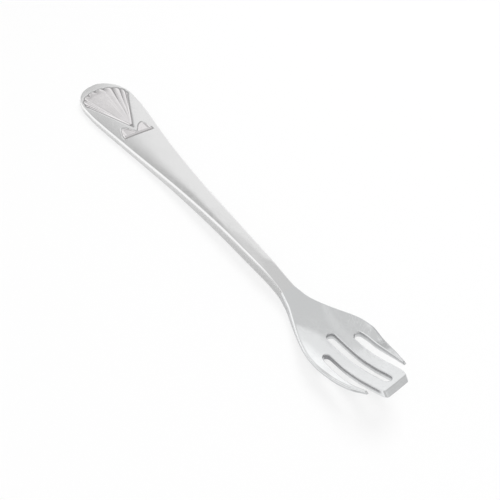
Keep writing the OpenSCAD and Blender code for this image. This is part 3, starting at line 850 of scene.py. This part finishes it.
# %% [markdown]
# ## The floor
# The fork lies on a white sweep in a light tent. The floor is a large round sheet. More light
# would make it white too, but it would bleach the steel. So what the camera and the metal see
# of it is lifted towards white, and the rest is plain paint that keeps the fork's shadow.

# %% The white floor
FLOOR_R, FLOOR_SIDES = 1.6, 96
FLOOR_GLOW_SHARE, FLOOR_GLOW_IN_METAL = 0.7, 0.45
WHITE, FLOOR_WHITE = (1, 1, 1, 1), (0.93, 0.93, 0.93, 1)


def seen(tree):
    """One for rays from the camera and for those that come from a reflection or through glass."""
    path = tree.add("ShaderNodeLightPath")
    outputs = path.socket.node.outputs
    looks = [Wire(tree, outputs[n]) for n in ("Is Camera Ray", "Is Glossy Ray",
                                              "Is Transmission Ray")]
    return looks[0].larger(looks[1]).larger(looks[2])


floor_mesh = bpy.data.meshes.new("floor")
turns = 2 * np.pi * np.arange(FLOOR_SIDES) / FLOOR_SIDES
rim_points = np.stack([FLOOR_R * np.cos(turns), FLOOR_R * np.sin(turns), 0 * turns], -1)
floor_mesh.from_pydata(rim_points.tolist(), [], [tuple(range(FLOOR_SIDES))])
floor = bpy.data.objects.new("floor", floor_mesh)
bpy.context.scene.collection.objects.link(floor)

floor_paint = bpy.data.materials.new("floor_paint")
tree = Tree(floor_paint)
paint = tree.add("ShaderNodeBsdfDiffuse", None, {"Color": FLOOR_WHITE})
glow = tree.add("ShaderNodeEmission", None, {"Color": WHITE, "Strength": 1})
from_camera = tree.add("ShaderNodeLightPath", out="Is Camera Ray")
lift = seen(tree) * FLOOR_GLOW_IN_METAL + from_camera * (FLOOR_GLOW_SHARE - FLOOR_GLOW_IN_METAL)
lifted = tree.add("ShaderNodeMixShader", None, {0: lift, 1: paint, 2: glow})
tree.add("ShaderNodeOutputMaterial", None, {"Surface": lifted})
floor_mesh.materials.append(floor_paint)
print("floor:", 2 * FLOOR_R, "m across, with", FLOOR_SIDES, "sides")

# %% [markdown]
# ## Grey cards
# Silver is photographed among grey and black cards, because polished metal has no shade of its
# own. Two grey cards show only in the metal. One lies on the floor before the tines and shades
# the blunt tip. The other stands at the left of the picture and draws the grey band along the
# bowl's rim. Lamps can't do this, since they only add light.

# %% Two cards
def card(name, brightness, corners):
    """A grey card, corners in millimetres in the part's frame, that shows only in the metal."""
    paint = bpy.data.materials.new(name)
    tree = Tree(paint)
    grey = tree.add("ShaderNodeEmission", None, {"Color": WHITE, "Strength": brightness})
    tree.add("ShaderNodeOutputMaterial", None, {"Surface": grey})
    mesh = bpy.data.meshes.new(name)
    mesh.from_pydata([[c * MM for c in corner] for corner in corners], [], [(0, 1, 2, 3)])
    mesh.materials.append(paint)
    made = bpy.data.objects.new(name, mesh)
    bpy.context.scene.collection.objects.link(made)
    made.visible_camera = made.visible_diffuse = made.visible_shadow = False
    print(name, "shows", brightness, "of white")


card("card_front", 0.62, [(76, -150, 0.5), (600, -150, 0.5), (600, 500, 0.5), (76, 500, 0.5)])
card("card_left", 0.57, [(30, -24, 1), (58, -52, 1), (58, -52, 30), (30, -24, 15)])

# %% [markdown]
# ## The tent
# Polished steel shows nothing but its surroundings, so the tent makes the picture. A picture of a
# studio could surround the fork, but a few soft patches are easier to place, and each has a task.
# The wall is nearly white. It is brighter at the left of the picture, for the bright bevel along
# the handle, and in one soft window ahead. The roof is greyer and gives the upper half of the
# bowl its shade. One grey gap in the far wall gives the dark band along the handle, and a lighter
# strip across it keeps the shell light. The two sides are shaded, so that the steel reads from
# behind too. The wall before the tines is darker, with a dark patch for the blunt tip. A place
# in the tent is told by its heading, in degrees from straight beyond the handle's end, positive
# towards -Y, and by its height in degrees.

# %% The tent
TENT_LIGHT, WALL_LOW, WALL_HIGH = 0.52, 1.0, 0.935
WALL_FADE, GAP_FOOT, HIGH_START = (5, 30), (2, 10), (18, 28)
ROOF_LEVEL, ROOF_PATCH, ROOF_EDGE, ROOF_LEAN, ROOF_SOFT = 0.7, 0.07, 52, 0.14, 3
GAP_SHADE, SIDE_SHADE, FRONT_SHADE, TIP_SHADE = 0.38, 0.36, 0.14, 0.14
BRIGHT_SIDE, BRIGHT_HIGH_SHARE, STRIP_SHARE, WINDOW = 0.2, 0.35, 0.75, 0.2
PATCH_EDGES = ((-35, -25), (-18, -9))
GAP_EDGES = ((-19.5, -10.5), (-3, 4))
STRIP_EDGES = ((23, 25.5), (27, 31))
SIDE_EDGES = ((66, 96), (124, 142))
BRIGHT_START, BRIGHT_END, FRONT_START = (10, 18), (58, 74), (-0.1, 0.6)
WINDOW_SPOT, TIP_SPOT = (128, 13, 9, 19), (20, 12, 30, 50)

world = bpy.data.worlds.new("tent")
bpy.context.scene.world = world
tree = Tree(world)
direction = tree.add("ShaderNodeTexCoord", out="Generated")
parts = tree.add("ShaderNodeSeparateXYZ", None, {"Vector": direction}).socket.node.outputs
x, y, z = (Wire(tree, parts[n]) for n in "XYZ")
heading = (y * -1).maths("ARCTAN2", x * -1).maths("DEGREES")
height = z.maths("ARCSINE").maths("DEGREES")


def toward(azimuth, elevation):
    """A direction, by its angle from +X towards +Y and its angle above the floor."""
    a, e = math.radians(azimuth), math.radians(elevation)
    return Vector((math.cos(e) * math.cos(a), math.cos(e) * math.sin(a), math.sin(e)))


def inside(wire, edges):
    """One between two soft edges, which are given as pairs of where each starts and ends."""
    rise, fall = edges
    return wire.step(*rise) * (1 - wire.step(*fall))


def spot(azimuth, elevation, inner, outer):
    """One within the inner angle of a direction and 0 beyond the outer one."""
    a, b, c = toward(azimuth, elevation)
    return (x * a + y * b + z * c).step(math.cos(math.radians(outer)),
                                        math.cos(math.radians(inner)))


in_roof = (height - heading * ROOF_LEAN).step(ROOF_EDGE - ROOF_SOFT, ROOF_EDGE + ROOF_SOFT)
roof = inside(heading, PATCH_EDGES) * ROOF_PATCH + ROOF_LEVEL
strip = inside(height, STRIP_EDGES) * STRIP_SHARE
in_gap = inside(heading, GAP_EDGES) * height.step(*GAP_FOOT)
gap = in_gap * (1 - strip) * GAP_SHADE
past_gap = heading.step(*GAP_EDGES[1]) * height.step(*HIGH_START) * BRIGHT_HIGH_SHARE
bright_side = past_gap.larger(heading.step(*BRIGHT_START)) * (1 - heading.step(*BRIGHT_END))
side_shade = inside(heading.maths("ABSOLUTE"), SIDE_EDGES) * SIDE_SHADE
walls = (WALL_LOW - height.step(*WALL_FADE) * (WALL_LOW - WALL_HIGH) - gap
         - side_shade + bright_side * BRIGHT_SIDE + spot(*WINDOW_SPOT) * WINDOW)
brightness = (walls + in_roof * (roof - walls) - x.step(*FRONT_START) * FRONT_SHADE
              - spot(*TIP_SPOT) * TIP_SHADE)
from_camera = tree.add("ShaderNodeLightPath", out="Is Camera Ray")
wall = tree.add("ShaderNodeBackground", None,
                {"Color": WHITE, "Strength": brightness.larger(from_camera)})
light = tree.add("ShaderNodeBackground", None, {"Color": WHITE, "Strength": TENT_LIGHT})
tent = tree.add("ShaderNodeMixShader", None, {0: seen(tree), 1: light, 2: wall})
tree.add("ShaderNodeOutputWorld", None, {"Surface": tent})
print("the tent uses", len(tree.nodes), "nodes")

# %% [markdown]
# ## Lamps
# The tent alone would light the floor evenly, with hardly a shadow. Two wide, weak lamps give
# the fork its soft shadow on the floor. A sun would give it a hard edge. The lamps don't show in
# the metal, where they would be two white squares.

# %% Two soft lamps
LAMP_DISTANCE, LAMP_SIZE = 0.8, 0.4


def lamp(name, azimuth, elevation, power):
    """A soft square lamp that faces the fork and doesn't show in the metal."""
    data = bpy.data.lights.new(name, "AREA")
    data.size = LAMP_SIZE
    data.energy = power
    made = bpy.data.objects.new(name, data)
    made.location = toward(azimuth, elevation) * LAMP_DISTANCE
    made.rotation_euler = toward(azimuth, elevation).to_track_quat("Z", "Y").to_euler()
    made.visible_camera = made.visible_glossy = False
    bpy.context.scene.collection.objects.link(made)
    print(name, "gives", power, "W")


lamp("top_lamp", 115, 60, 2.57)
lamp("front_lamp", -35, 62, 1.7)

# %% [markdown]
# ## The camera
# The camera stands close above the tines and looks back along the handle, which makes the
# handle's far end look small. Its place and lens were found by fitting the fork's outline. A
# Track To constraint could aim it, but it also has to roll a little.

# %% The camera
PICTURE_PX, SENSOR_MM = 500, 36
FOCAL_PX, PITCH, AZIMUTH, ROLL = 428.141, 48.666, 146.223, -1.658
CAMERA_AT = np.array([150.721, -35.937, 76.358])
pitch, azimuth, rolled = np.radians([PITCH, AZIMUTH, ROLL])
level = np.array([math.cos(azimuth), math.sin(azimuth), 0])
look = math.cos(pitch) * level - math.sin(pitch) * np.array([0, 0, 1])
side = np.cross(look, [0, 0, 1])
side /= np.linalg.norm(side)
up = np.cross(side, look)
right = math.cos(rolled) * side + math.sin(rolled) * up
above = -math.sin(rolled) * side + math.cos(rolled) * up
camera_data = bpy.data.cameras.new("camera")
camera_data.sensor_width = SENSOR_MM
camera_data.lens = SENSOR_MM * FOCAL_PX / PICTURE_PX
camera_data.clip_start = MM
camera = bpy.data.objects.new("camera", camera_data)
bpy.context.scene.collection.objects.link(camera)
axes = Matrix([right, above, -look]).transposed().to_4x4()
camera.matrix_world = Matrix.Translation(Vector(to_frame(CAMERA_AT))) @ axes
bpy.context.scene.camera = camera
bpy.context.scene.view_settings.view_transform = "Standard"
print("lens:", round(camera_data.lens, 2), "mm")
